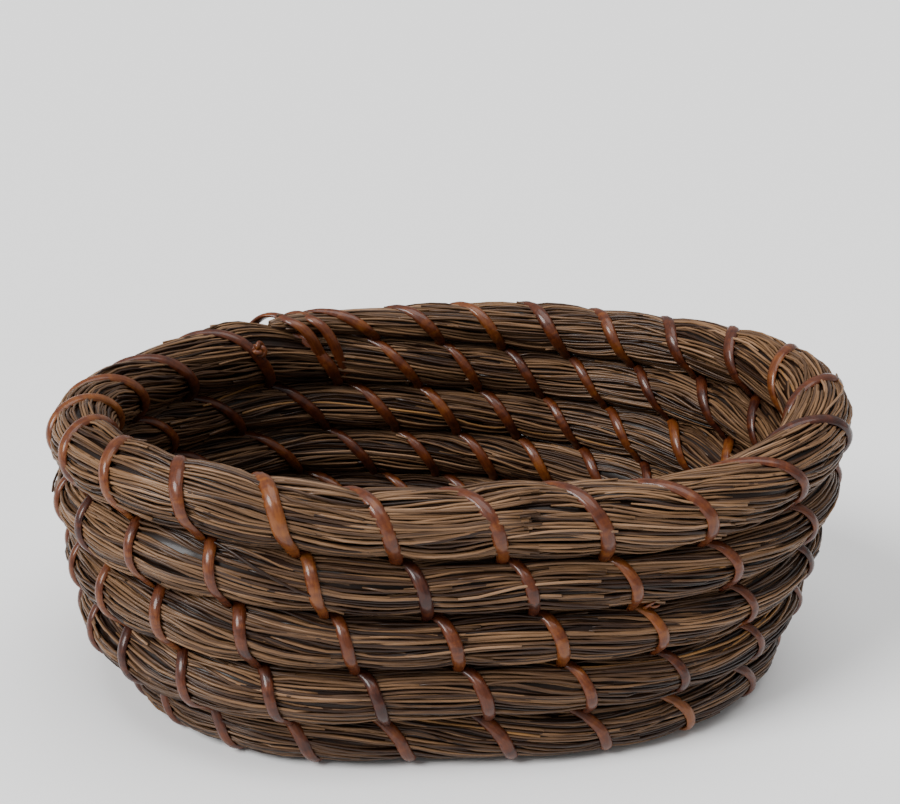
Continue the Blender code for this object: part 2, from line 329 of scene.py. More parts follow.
class Coil:
    """Centre line of the bundle with its outward and upward ways and its half sizes."""

    def __init__(self):
        self.count = round(COIL_TURNS * SAMPLES_PER_TURN) + 1
        turns = np.arange(self.count) / SAMPLES_PER_TURN
        rays = np.array([place_ray(turn) for turn in turns])
        angles = rays[:, 1]
        swell = 1 + add_waves(SWELL_WAVE_SHARES, angles)
        shares = np.array([bundle_share(turn) for turn in turns])
        flat = np.zeros((self.count, 2))
        for index, turn in enumerate(turns):
            spacing = BUNDLE_HEIGHT * swell[index] + COURSE_GAP
            if index < SAMPLES_PER_TURN:
                flat[index] = (spacing * (START_RADIUS_SHARE + turn), 0.0)
                continue
            if turn > WALL_TURNS:
                spacing -= BUNDLE_HEIGHT / 2 * swell[index] * (1 - shares[index])
            lean = course_lean(turn, angles[index])
            step_up = np.array((math.sin(lean), math.cos(lean)))
            flat[index] = flat[index - SAMPLES_PER_TURN] + spacing * step_up
        step = SAMPLES_PER_TURN
        above = np.concatenate([flat[step:] - flat[:-step], flat[-step:] - flat[-2 * step:-step]])
        below = np.concatenate([above[:step], above[:-step]])
        rise = unit(unit(above) + unit(below))
        cos, sin = np.cos(angles), np.sin(angles)
        place = np.stack([rays[:, 0] + flat[:, 0] * cos, flat[:, 0] * sin, flat[:, 1]], 1)
        self.place = smooth(place + COIL_PLACE, 2)
        self.up = unit(smooth(np.stack([rise[:, 0] * cos, rise[:, 0] * sin, rise[:, 1]], 1), 3))
        self.out = unit(smooth(np.stack([rise[:, 1] * cos, rise[:, 1] * sin, -rise[:, 0]], 1), 3))
        bump = sum(size * np.exp(-((turns - turn) / spread) ** 2) for turn, spread, size in THICK_PLACES)
        self.place = self.place + self.up * bump[:, None]
        self.half_width = BUNDLE_WIDTH / 2 * shares * (1 + swell) / 2 + bump
        self.half_height = BUNDLE_HEIGHT / 2 * swell * shares + bump
        self.length = path_lengths(self.place)

    def read(self, values, turn):
        """Values of an array at any turns between its samples."""
        place = np.clip(np.asarray(turn) * SAMPLES_PER_TURN, 0, self.count - 1.001)
        index = place.astype(int)
        share = place - index
        if values.ndim > 1:
            share = share[..., None]
        return values[index] * (1 - share) + values[index + 1] * share

    def turn_at(self, length):
        """Turn at a length along the coil; lengths below zero lie on the first run before it."""
        turn = np.interp(length, self.length, np.arange(self.count) / SAMPLES_PER_TURN)
        return turn + np.minimum(length, 0) / (self.length[1] * SAMPLES_PER_TURN)

    def middle(self, turn):
        """Point on the centre line, which runs straight back from the coil's start."""
        before = np.minimum(turn, 0) * SAMPLES_PER_TURN
        return self.read(self.place, turn) + before[..., None] * (self.place[1] - self.place[0])

    def surface(self, turn, angle, wide, high, lift):
        """Point on the bundle at an angle from outside over the top, and the way out of it there."""
        a = self.read(self.half_width, turn) * wide
        b = self.read(self.half_height, turn) * high
        out, up = self.read(self.out, turn), self.read(self.up, turn)
        cos, sin = np.cos(angle), np.sin(angle)
        normal = unit(out * (b * cos)[..., None] + up * (a * sin)[..., None])
        point = self.middle(turn) + out * (a * cos)[..., None] + up * (b * sin)[..., None]
        return point + normal * np.asarray(lift)[..., None], normal


# Stitches

def list_stitches():
    """Turns at which the strand is sewn through the course below, in sewing order."""
    base = np.arange(FIRST_STITCH_TURN, BASE_TURNS, 1 / BASE_STITCHES_PER_TURN)
    turns = np.linspace(BASE_TURNS + 0.02, LAST_STITCH_TURN, 20000)
    counted = WALL_STITCHES_PER_TURN * turns + WALL_STITCH_START
    counted = counted + add_waves(WALL_STITCH_WAVES, TURN * turns)
    numbers = np.arange(math.ceil(counted[0]), math.floor(counted[-1]) + 1)
    wall = np.interp(numbers, counted, turns)
    wall[np.abs(wall - TIED_STITCH_TURN).argmin()] += TIED_STITCH_MOVE
    return np.concatenate([base, wall])


def list_strand_starts(count):
    """Turns at which the solid model's strands start."""
    base = math.ceil((BASE_TURNS - FIRST_STITCH_TURN) * BASE_STITCHES_PER_TURN)
    numbers = np.arange(count) * LOOPS_PER_STRAND
    in_base = FIRST_STITCH_TURN + numbers / BASE_STITCHES_PER_TURN
    in_wall = FIRST_WALL_STITCH_TURN + (numbers - base) / WALL_STITCHES_PER_TURN
    return np.where(numbers < base, in_base, in_wall)


def loop_share(turn, angle):
    """How far ahead along the pitch a loop lies at an angle round the bundle, in radians."""
    degrees = (np.degrees(angle) + 90) % 360 - 90
    rim = np.clip((turn - COIL_TURNS + RIM_LOOP_TURNS) / RIM_LOOP_BLEND, 0, 1)
    wall = np.interp(degrees, LOOP_ANGLES, WALL_LOOP_SHARES)
    return wall + rim * (np.interp(degrees, LOOP_ANGLES, RIM_LOOP_SHARES) - wall)


def near_stitch(coil, stitches, turn, angle):
    """Distance along the bundle to the nearest loop, and half the pitch there."""
    pitches = np.diff(stitches, append=2 * stitches[-1] - stitches[-2])
    local = np.interp(turn, stitches, pitches)
    moved = turn - loop_share(turn, angle) * local
    index = np.clip(np.searchsorted(stitches, moved), 1, len(stitches) - 1)
    away = np.minimum(np.abs(moved - stitches[index - 1]), np.abs(stitches[index] - moved))
    per_turn = np.gradient(coil.length) * SAMPLES_PER_TURN
    scale = coil.read(per_turn, turn)
    return away * scale, local * scale / 2


# Meshes

def mesh_from_rings(name, tubes, uvs, tints):
    """One mesh of closed tubes: each is an array of rings of corners, with caps on both ends."""
    verts, quads, corner_uvs, point_tints = [], [], [], []
    start = 0
    for rings, uv, tint in zip(tubes, uvs, tints):
        count, sides = rings.shape[:2]
        index = start + np.arange(count * sides).reshape(count, sides)
        after = np.roll(index, -1, axis=1)
        faces = np.stack([index[:-1], after[:-1], after[1:], index[1:]], -1).reshape(-1, 4)
        first, last, cap_quads = index[0], index[-1], range(sides // 2 - 1)
        caps = [(first[-1 - k], first[sides - 2 - k], first[k + 1], first[k]) for k in cap_quads]
        caps += [(last[k], last[k + 1], last[sides - 2 - k], last[sides - 1 - k]) for k in cap_quads]
        across = np.arange(sides) / sides
        u = uv[:, None] + np.zeros(sides)
        v = across[None] + np.zeros((count, 1))
        grid = np.stack([u, v], -1)
        next_v = np.stack([u, v + 1 / sides], -1)
        corner_uvs.append(np.stack([grid[:-1], next_v[:-1], next_v[1:], grid[1:]], 2).reshape(-1, 2))
        corner_uvs.append(np.repeat([[uv[0], 0.5], [uv[-1], 0.5]], 4 * len(cap_quads), 0))
        quads.append(faces)
        quads.append(np.array(caps))
        verts.append(rings.reshape(-1, 3))
        point_tints.append(np.repeat(tint, sides) if np.ndim(tint) else np.full(count * sides, tint))
        start += count * sides
    verts, quads = np.concatenate(verts), np.concatenate(quads)
    mesh = bpy.data.meshes.new(name)
    mesh.vertices.add(len(verts))
    mesh.vertices.foreach_set("co", verts.astype(np.float32).ravel())
    mesh.loops.add(quads.size)
    mesh.loops.foreach_set("vertex_index", quads.astype(np.int32).ravel())
    mesh.polygons.add(len(quads))
    mesh.polygons.foreach_set("loop_start", np.arange(0, quads.size, 4, dtype=np.int32))
    mesh.update(calc_edges=True)
    layer = mesh.uv_layers.new(name="lengthwise")
    layer.uv.foreach_set("vector", np.concatenate(corner_uvs).astype(np.float32).ravel())
    shade = mesh.attributes.new("tint", "FLOAT", "POINT")
    shade.data.foreach_set("value", np.concatenate(point_tints).astype(np.float32))
    mesh.shade_smooth()
    mesh.validate()
    return mesh


def add_piece(name, mesh, material, nodes=()):
    """A piece that rides on the basket and may stand for nodes of the solid model."""
    mesh.materials.append(material)
    piece = bpy.data.objects.new(name, mesh)
    bpy.context.scene.collection.objects.link(piece)
    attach(piece, "root")
    if nodes:
        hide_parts(*nodes)
    return piece


def sweep(points, normals, profile, scale):
    """Rings of a profile, given as (sideways, outward) pairs, carried along a path."""
    along = unit(np.gradient(points, axis=0))
    side = unit(np.cross(along, normals))
    outward = np.cross(side, along)
    scale = np.asarray(scale)[:, None, None]
    sideways, out = side[:, None] * profile[None, :, :1], outward[:, None] * profile[None, :, 1:]
    return points[:, None] + scale * (sideways + out)


# Materials

def add_node(tree, kind, **inputs):
    """A shader node with values set on its sockets."""
    node = tree.nodes.new(kind)
    for name, value in inputs.items():
        node.inputs[name.replace("_", " ")].default_value = value
    return node


def math_node(tree, operation, first, second):
    """Result of a sum on two values or sockets."""
    node = tree.nodes.new("ShaderNodeMath")
    node.operation = operation
    for socket, value in zip(node.inputs, (first, second)):
        if isinstance(value, (int, float)):
            socket.default_value = value
        else:
            tree.links.new(value, socket)
    return node.outputs[0]


def ramp_node(tree, value, stops):
    """Colour that a value picks from stops of place and colour."""
    node = tree.nodes.new("ShaderNodeValToRGB")
    ramp = node.color_ramp
    while len(ramp.elements) < len(stops):
        ramp.elements.new(0.5)
    for element, (place, colour) in zip(ramp.elements, stops):
        element.position = place
        element.color = (*colour, 1.0)
    tree.links.new(value, node.inputs["Fac"])
    return node.outputs["Color"]


def fibre_group():
    """Node group for fibres that run lengthwise: dark streaks, slow blotches and a groove height."""
    name = "lengthwise fibres"
    if name in bpy.data.node_groups:
        return bpy.data.node_groups[name]
    group = bpy.data.node_groups.new(name, "ShaderNodeTree")
    for label, value in (("Along", 1.0), ("Across", 1.0), ("Blotches", 1.0)):
        socket = group.interface.new_socket(label, in_out="INPUT", socket_type="NodeSocketFloat")
        socket.default_value = value
    for label in ("Streak", "Blotch", "Groove"):
        group.interface.new_socket(label, in_out="OUTPUT", socket_type="NodeSocketFloat")
    source = group.nodes.new("NodeGroupInput")
    result = group.nodes.new("NodeGroupOutput")
    place = group.nodes.new("ShaderNodeUVMap")
    place.uv_map = "lengthwise"
    apart = group.nodes.new("ShaderNodeSeparateXYZ")
    group.links.new(place.outputs["UV"], apart.inputs[0])
    tint = group.nodes.new("ShaderNodeAttribute")
    tint.attribute_name = "tint"
    seed = math_node(group, "MULTIPLY", tint.outputs["Fac"], TINT_SEEDS)

    def noise(along, across, detail):
        joined = group.nodes.new("ShaderNodeCombineXYZ")
        group.links.new(math_node(group, "MULTIPLY", apart.outputs["X"], along), joined.inputs["X"])
        group.links.new(math_node(group, "MULTIPLY", apart.outputs["Y"], across), joined.inputs["Y"])
        group.links.new(seed, joined.inputs["Z"])
        texture = add_node(group, "ShaderNodeTexNoise", Scale=1.0, Detail=detail, Roughness=NOISE_ROUGHNESS)
        group.links.new(joined.outputs[0], texture.inputs["Vector"])
        return texture.outputs["Fac"]

    streak = noise(source.outputs["Along"], source.outputs["Across"], 3.0)
    blotch = noise(source.outputs["Blotches"], BLOTCH_ACROSS, 2.0)
    groove = noise(math_node(group, "MULTIPLY", source.outputs["Along"], GROOVE_ALONG_SHARE),
                   math_node(group, "MULTIPLY", source.outputs["Across"], GROOVE_ACROSS_SHARE), 1.0)
    group.links.new(streak, result.inputs["Streak"])
    group.links.new(blotch, result.inputs["Blotch"])
    group.links.new(groove, result.inputs["Groove"])
    return group


def fibre_material(name, stops, along, across, blotches, roughness, coat, depth):
    """Dry plant fibre coloured by each piece's tint, with streaks, blotches and lengthwise grooves."""
    material = bpy.data.materials.new(name)
    material.use_nodes = True
    tree = material.node_tree
    shader = tree.nodes["Principled BSDF"]
    shader.inputs["Coat Weight"].default_value = coat
    shader.inputs["Coat Roughness"].default_value = COAT_ROUGHNESS
    shader.inputs["Specular IOR Level"].default_value = SPECULAR_LEVEL
    fibres = tree.nodes.new("ShaderNodeGroup")
    fibres.node_tree = fibre_group()
    fibres.inputs["Along"].default_value = along
    fibres.inputs["Across"].default_value = across
    fibres.inputs["Blotches"].default_value = blotches
    tint = tree.nodes.new("ShaderNodeAttribute")
    tint.attribute_name = "tint"
    streak = math_node(tree, "SUBTRACT", fibres.outputs["Streak"], 0.5)
    streak = math_node(tree, "MULTIPLY", streak, STREAK_STRENGTH)
    blotch = math_node(tree, "SUBTRACT", fibres.outputs["Blotch"], 0.5)
    blotch = math_node(tree, "MULTIPLY", blotch, BLOTCH_STRENGTH)
    shade = math_node(tree, "ADD", math_node(tree, "ADD", tint.outputs["Fac"], streak), blotch)
    shade = math_node(tree, "DIVIDE", shade, TINT_RANGE)
    stops = [(place / TINT_RANGE, colour) for place, colour in stops]
    tree.links.new(ramp_node(tree, shade, stops), shader.inputs["Base Color"])
    rough = math_node(tree, "MULTIPLY_ADD", fibres.outputs["Streak"], ROUGHNESS_SPREAD)
    rough.node.inputs[2].default_value = roughness - ROUGHNESS_SPREAD / 2
    tree.links.new(rough, shader.inputs["Roughness"])
    bump = add_node(tree, "ShaderNodeBump", Strength=BUMP_STRENGTH, Distance=depth)
    tree.links.new(fibres.outputs["Groove"], bump.inputs["Height"])
    tree.links.new(bump.outputs[0], shader.inputs["Normal"])
    return material


def needle_material(look):
    """Brown needles, from nearly black to tan, with a few yellow ones."""
    if "dry pine needles" in bpy.data.materials:
        return bpy.data.materials["dry pine needles"]
    dark, tan, gold = (tuple(colour) for colour in (look.dark, look.tan, look.gold))
    middle = tuple(0.62 * a + 0.38 * b for a, b in zip(dark, tan))
    pale = tuple(1.3 * c + 0.03 for c in tan)
    black = tuple(0.4 * c for c in dark)
    stops = ((0.0, black), (0.28, dark), (0.55, middle), (0.84, tan), (1.1, pale), (1.5, gold))
    return fibre_material("dry pine needles", stops, 14.0, 3.0, 5.0, 0.45, 0.12, 0.12 * MM)


def leaf_material(look):
    """Glossy red-brown leaf, darker where it is shaded."""
    if "split leaf" in bpy.data.materials:
        return bpy.data.materials["split leaf"]
    dark, red, gold = (tuple(colour) for colour in (look.dark, look.red, look.gold))
    stops = ((0.0, tuple(0.45 * c for c in dark)), (0.25, dark), (0.55, red), (1.0, gold))
    return fibre_material("split leaf", stops, 22.0, 9.0, 30.0, 0.5, 0.4, 0.25 * MM)


# Settings

class BasketNeedleSettings(PropertyGroup):
    """Sizes and colours of the pine needles"""

    lanes: IntProperty(
        name="Needles round", description="Needles side by side round the bundle", default=72, min=12)
    under_lanes: IntProperty(
        name="Needles under", description="Needles in the layer below", default=50, min=0)
    thickness: FloatProperty(
        name="Thickness", description="Thickness of one needle", default=0.84 * MM, unit="LENGTH")
    short: FloatProperty(
        name="Shortest", description="Length of the shortest needle", default=60 * MM, unit="LENGTH")
    long: FloatProperty(
        name="Longest", description="Length of the longest needle", default=170 * MM, unit="LENGTH")
    step: FloatProperty(
        name="Step", description="Distance between points on a needle", default=5.0 * MM, unit="LENGTH")
    loose: IntProperty(
        name="Loose needles", description="Needles that stray over the others", default=460, min=0)
    seed: IntProperty(
        name="Seed", description="Another seed lays the needles another way", default=11)
    dark: FloatVectorProperty(
        name="Dark", description="Darkest needles", subtype="COLOR", default=(0.024, 0.009, 0.0035))
    tan: FloatVectorProperty(
        name="Tan", description="Palest needles", subtype="COLOR", default=(0.170, 0.090, 0.042))
    gold: FloatVectorProperty(
        name="Gold", description="A few yellow needles", subtype="COLOR", default=(0.25, 0.12, 0.035))


class BasketStrandSettings(PropertyGroup):
    """Sizes and colours of the sewing strands"""

    width: FloatProperty(
        name="Width", description="Width of the strand", default=3.7 * MM, unit="LENGTH")
    thickness: FloatProperty(
        name="Thickness", description="Thickness of the strand", default=2.0 * MM, unit="LENGTH")
    seed: IntProperty(
        name="Seed", description="Another seed varies the loops another way", default=5)
    dark: FloatVectorProperty(
        name="Dark", description="Shaded strand", subtype="COLOR", default=(0.030, 0.005, 0.0015))
    red: FloatVectorProperty(
        name="Red", description="Most of the strand", subtype="COLOR", default=(0.085, 0.018, 0.003))
    gold: FloatVectorProperty(
        name="Amber", description="Palest strand", subtype="COLOR", default=(0.20, 0.062, 0.008))


class BasketStageSettings(PropertyGroup):
    """Place and lens of the camera"""

    distance: FloatProperty(
        name="Distance", description="Camera to the basket", default=499 * MM, unit="LENGTH")
    height: FloatProperty(
        name="Height", description="Height that the camera looks at", default=44.8 * MM, unit="LENGTH")
    target_x: FloatProperty(
        name="Target X", description="Place that it looks at", default=0.61 * MM, unit="LENGTH")
    elevation: FloatProperty(
        name="Elevation", description="Camera above level", default=0.4349, subtype="ANGLE")
    swing: FloatProperty(
        name="Swing", description="Camera round to the left", default=-0.1743, subtype="ANGLE")
    roll: FloatProperty(
        name="Roll", description="Tilt of the picture", default=0.0658, subtype="ANGLE")
    lens: FloatProperty(
        name="Lens", description="Focal length in millimetres", default=63.9)
    shift_x: FloatProperty(
        name="Shift X", description="Sideways shift of the lens", default=0.0032)
    shift_y: FloatProperty(
        name="Shift Y", description="Upward shift of the lens", default=0.1169)


# Needles

def swell_between(coil, stitches, turn, angle):
    """Width and height factors of the bundle: pinched under each loop, full between loops."""
    away, half_pitch = near_stitch(coil, stitches, turn, angle)
    full = np.sin(np.clip(away / np.maximum(half_pitch, 1e-6), 0, 1) * math.pi / 2) ** SWELL_POWER
    pinch = np.exp(-(away / PINCH_REACH) ** 2)
    return tuple(least + more * full - less * pinch for least, more, less in (WIDTH_SWELL, HEIGHT_SWELL))


def lay_needle(coil, stitches, rng, look, angle, start, end, depth, sides, kind):
    """Rings, lengthwise places and tint of one needle along the bundle."""
    count = max(int((end - start) / look.step) + 1, 4)
    places = np.linspace(start, end, count)
    turn = coil.turn_at(places)
    phases = rng.uniform(0, TURN, 2)
    way = angle + NEEDLE_TWIST * places
    way = way + sum(size * np.sin(places / reach + phase) for size, reach, phase in SHARED_WAVES)
    way = way + sum(size * np.sin(places / reach + phase) for (size, reach), phase in zip(OWN_WAVES, phases))
    way = way + kind.get("slope", rng.normal(0, USUAL_SLOPE)) * (places - places.mean())
    away = near_stitch(coil, stitches, turn, way)[0]
    free = np.clip(away / FREE_REACH, 0, 1)
    way = way + free * sum(size * np.sin(times * way + places / reach) for times, size, reach in BUNCHES)
    wide, high = swell_between(coil, stitches, turn, way)
    from_start, to_end = places - start, end - places
    ends = np.minimum(from_start, to_end)
    dive = np.exp(-ends / DIVE_REACH) * DIVE_DEPTH
    if kind.get("cut_end"):
        ends = from_start
        dive = np.exp(-ends / DIVE_REACH) * DIVE_DEPTH
        dive -= np.exp(-to_end / CUT_RISE_REACH) * rng.uniform(*CUT_RISES) * MM
    lift = -depth - dive + RIPPLE_HEIGHT * np.sin(places / RIPPLE_REACH + phases[1])
    points, normals = coil.surface(turn, way, wide, high, lift)
    size = look.thickness / 2 * rng.uniform(*NEEDLE_SIZE_SHARES)
    turns = np.arange(sides) / sides * TURN + math.pi / sides
    profile = np.stack([np.sin(turns) * size, np.cos(turns) * size * NEEDLE_FLATNESS], 1)
    rings = sweep(points, normals, profile, np.clip(TIP_SHARE + ends / TIP_REACH, 0, 1))
    return rings, places * UV_PER_METRE + rng.uniform(0, UV_SHIFT), kind["tint"]


def needle_tint(rng, turn):
    """Most needles are brown, some tan or nearly black, a few yellow; painted light makes them paler towards
    the rim and painted shade darker in the base.
    """
    if rng.random() < GOLD_CHANCE:
        return GOLD_TINT
    # painted light and shade: paler near the rim, darker down in the base
    pale = np.interp(COIL_TURNS - turn, *PAINTED_LIGHT_BY_COURSE)
    return float(np.clip(rng.normal(MIDDLE_TINT + pale, TINT_SPREAD), *TINT_LIMITS))


def group_name(turn):
    """Name of the piece that holds needles at a turn: the base, or a wall course counted from the rim."""
    course = COIL_TURNS - turn
    return "needles_base" if course > WALL_TURNS else f"needles_course_{max(math.ceil(course), 1)}"


class BASKET_OT_needle_bundle(Operator):
    """Lays the pine needles of the bundle, course by course, over a core tinted nearly black as painted
    shade
    """

    bl_idname = "basket.needle_bundle"
    bl_label = "Needle Bundle"

    def execute(self, context):
        look = context.scene.basket_needles
        coil, stitches = Coil(), list_stitches()
        rng = np.random.default_rng(look.seed)
        material = needle_material(look)
        groups = {}

        def lay(angle, start, end, inset, sides, kind):
            made = lay_needle(coil, stitches, rng, look, angle, start, end, inset, sides, kind)
            groups.setdefault(group_name(float(coil.turn_at((start + end) / 2))), []).append(made)

        self.lay_layers(coil, stitches, rng, look, lay)
        self.lay_loose(coil, rng, look, lay)
        self.lay_cut_bunches(coil, rng, lay)
        for name, made in sorted(groups.items()):
            rings, uvs, tints = zip(*made)
            add_piece(name, mesh_from_rings(name, rings, uvs, tints), material, ["needle_coil"])
        self.add_core(coil, stitches, material)
        return {"FINISHED"}

    def lay_layers(self, coil, stitches, rng, look, lay):
        """An outer and an under layer of needles, each lane spliced end to end along the coil."""
        total = coil.read(coil.length, TAIL_END_TURN)
        loop_lengths = np.interp(stitches, np.arange(coil.count) / SAMPLES_PER_TURN, coil.length)
        layers = ((look.lanes, 0.0, OUTER_SIDES), (look.under_lanes, UNDER_DEPTH, UNDER_SIDES))
        for layer, (lanes, depth, sides) in enumerate(layers):
            for lane in range(lanes):
                angle = (lane + rng.uniform(-LANE_STRAY, LANE_STRAY)) / lanes * TURN + layer * LAYER_ANGLE
                start = -LEAD_LENGTH - rng.uniform(0, look.long)
                while start < total - LEAST_REST:
                    end = start + rng.uniform(look.short, look.long)
                    cut = layer == 0 and rng.random() < CUT_CHANCE
                    if cut:
                        nearest = loop_lengths[np.argmin(np.abs(loop_lengths - end))]
                        end = nearest + rng.uniform(*PAST_LOOP) * MM
                    low, high = max(start, -LEAD_LENGTH), min(end, total)
                    if high - low > LEAST_NEEDLE:
                        turn = float(coil.turn_at((low + high) / 2))
                        kind = {"tint": needle_tint(rng, turn), "cut_end": cut and high < total}
                        inset = depth + rng.uniform(*INSETS) * MM
                        lay(angle, low, high, inset, sides, kind)
                    start = end + rng.uniform(*SPLICE_GAPS) * MM

    def lay_loose(self, coil, rng, look, lay):
        """Short lengths of needles that stray over the others."""
        total = coil.read(coil.length, TAIL_END_TURN)
        for _ in range(look.loose):
            start = rng.uniform(FIRST_LOOSE, total - LAST_LOOSE)
            end = start + rng.uniform(*LOOSE_LENGTHS) * MM
            turn = float(coil.turn_at((start + end) / 2))
            kind = {"tint": needle_tint(rng, turn) + LOOSE_PALER, "cut_end": rng.random() < LOOSE_CUT_CHANCE,
                    "slope": rng.normal(0, LOOSE_SLOPE)}
            inset = rng.uniform(*LOOSE_INSETS) * MM
            angle = rng.uniform(0, TURN)
            lay(angle, start, end, inset, OUTER_SIDES, kind)

    def lay_cut_bunches(self, coil, rng, lay):
        """Bunches whose cut ends show on the outside just past a stitch."""
        for turn, count in CUT_BUNCHES:
            for _ in range(count):
                end = coil.read(coil.length, turn) + rng.uniform(*BUNCH_PAST_STITCH) * MM
                start = end - rng.uniform(*BUNCH_LENGTHS) * MM
                kind = {"tint": needle_tint(rng, turn) + BUNCH_PALER, "cut_end": True,
                        "slope": rng.normal(0, BUNCH_SLOPE)}
                angle = math.radians(rng.uniform(*BUNCH_DEGREES)) - NEEDLE_TWIST * start
                inset = rng.uniform(*BUNCH_INSETS) * MM
                lay(angle, start, end, inset, OUTER_SIDES, kind)

    def add_core(self, coil, stitches, material):
        """A core of packed needles, tinted nearly black as painted shade, that shows only as the gaps
        between them.
        """
        turn = np.arange(0, TAIL_END_TURN * SAMPLES_PER_TURN - CORE_END_SAMPLES) / SAMPLES_PER_TURN
        turn = np.append(coil.turn_at(-CORE_LEAD_SHARE * LEAD_LENGTH), turn)
        lift = np.minimum(-CORE_DEPTH_SHARE * coil.read(coil.half_height, turn), -CORE_LEAST_DEPTH)
        sides = []
        for angle in np.arange(CORE_SIDES) / CORE_SIDES * TURN:
            angles = np.full(len(turn), angle)
            wide, high = swell_between(coil, stitches, turn, angles)
            sides.append(coil.surface(turn, angles, wide, high, lift)[0])
        # nearly black tint: painted shade in the gaps between the needles
        rings, tint = np.stack(sides, 1), np.full(len(turn), CORE_SHADE_TINT)
        mesh = mesh_from_rings("needle_core", [rings], [turn * CORE_UV_PER_TURN], [tint])
        add_piece("needle_core", mesh, material, ["needle_coil"])


# Sewing strands

def strand_profile(look):
    """Outline of the strand, domed and finely grooved above and flat below."""
    across = np.sin(np.linspace(-1, 1, 11) * math.pi / 2)
    grooves = GROOVE_SHARE * np.cos(across * GROOVES * math.pi)
    dome = look.thickness * (DOME_SHARE * np.sqrt(1 - DOME_EDGE * across ** 2) - DOME_SHARE / 2 + grooves)
    top = np.stack([across * look.width / 2, dome], 1)
    under = np.linspace(UNDERSIDE_SHARE, -UNDERSIDE_SHARE, 3)
    bottom = np.stack([under * look.width / 2, np.full(3, -UNDERSIDE_DEPTH_SHARE * look.thickness)], 1)
    return np.concatenate([top, bottom])[::-1]


def lay_loops(coil, stitches, rng, look, first, last):
    """Rings, places and tints of a strand sewn from one stitch to another."""
    points, normals, scales, tints = [], [], [], []
    degrees = np.arange(270, -90, -LOOP_STEP)
    angle = np.radians(degrees)
    under = np.clip((np.abs(degrees - 90) - SEWN_FROM) / SEWN_SPAN, 0, 1)
    edge = np.clip(1 - under, 0, 1)
    for stitch in range(first, last):
        ahead, behind = stitches[stitch + 1], stitches[stitch]
        share = np.concatenate([[-1.0], loop_share(ahead, angle[1:])])
        turn = ahead + share * (ahead - behind)
        lift = LOOP_LIFT + rng.uniform(*LOOP_LIFT_STRAY) * MM + under ** SEWN_POWER * SEWN_LIFT
        wide, high = np.full(len(turn), LOOP_WIDE), np.full(len(turn), LOOP_HIGH)
        point, normal = coil.surface(turn, angle, wide, high, lift)
        points.append(point)
        normals.append(normal)
        broad = 1 + RIM_BROADER * np.clip((ahead - COIL_TURNS + RIM_TURNS) / RIM_BLEND_TURNS, 0, 1)
        scales.append((SEWN_SIZE + (1 - SEWN_SIZE) * edge) * rng.uniform(*LOOP_SIZES) * broad
                      + LOOP_SIZE_WAVE * np.sin(angle * 3 + rng.uniform(0, TURN)))
        hue = np.clip(rng.normal(0.5, HUE_SPREAD), *HUE_LIMITS)
        # painted shade: darker where the loop dives between the courses
        tints.append(hue - SEWN_PAINTED_SHADE * under + HUE_WAVE * np.sin(angle + rng.uniform(0, TURN)))
    points = smooth(np.concatenate(points), 1)
    normals = unit(smooth(np.concatenate(normals), 1))
    rings = sweep(points, normals, strand_profile(look), smooth(np.concatenate(scales), 2))
    return rings, path_lengths(points) * UV_PER_METRE + rng.uniform(0, UV_SHIFT), np.concatenate(tints)


class BASKET_OT_sewing_strands(Operator):
    """Winds the strands of split leaf round the bundle and sews them through the course below"""

    bl_idname = "basket.sewing_strands"
    bl_label = "Sewing Strands"

    def execute(self, context):
        look = context.scene.basket_strands
        coil, stitches = Coil(), list_stitches()
        rng = np.random.default_rng(look.seed)
        material = leaf_material(look)
        names = sorted(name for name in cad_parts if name.startswith("strand_"))
        starts = [np.abs(stitches - turn).argmin() for turn in list_strand_starts(len(names))]
        for name, first, last in zip(names, starts, (*starts[1:], len(stitches) - 1)):
            rings, uv, tint = lay_loops(coil, stitches, rng, look, first, last)
            mesh = mesh_from_rings(f"sewn_{name}", [rings], [uv], [tint])
            add_piece(f"sewn_{name}", mesh, material, [name])
        return {"FINISHED"}


# Ties and knots

def lay_band(coil, turn, reach, rng, look):
    """Rings, places and tints of a loop that ties the tail and the course below it together."""
    angle = np.radians(np.arange(-90, 271, LOOP_STEP))
    turns = turn + BAND_SLANT * loop_share(turn, angle) / WALL_STITCHES_PER_TURN
    upper, lower = coil.read(coil.place, turns), coil.read(coil.place, turns - 1)
    over, under = coil.read(coil.half_height, turns), coil.read(coil.half_height, turns - 1)
    up, out = unit(upper - lower), coil.read(coil.out, turns)
    high = (np.linalg.norm(upper - lower, axis=1) + over + under) / 2
    wide = coil.read(coil.half_width, turns - 1)
    cos, sin = np.cos(angle), np.sin(angle)
    sideways = wide * np.sign(cos) * np.abs(cos) ** BAND_SIDE_POWER
    upward = (over - under) / 2 + high * (1 - reach + reach * np.sign(sin) * np.abs(sin) ** BAND_TOP_POWER)
    normals = unit(out * (high * cos)[:, None] + up * (wide * sin)[:, None])
    points = (upper + lower) / 2 + out * sideways[:, None] + up * upward[:, None] + normals * BAND_LIFT
    rings = sweep(points, normals, strand_profile(look), np.ones(len(angle)))
    places = path_lengths(points) * UV_PER_METRE + rng.uniform(0, UV_SHIFT)
    return rings, places, np.full(len(angle), rng.uniform(*BAND_TINTS))


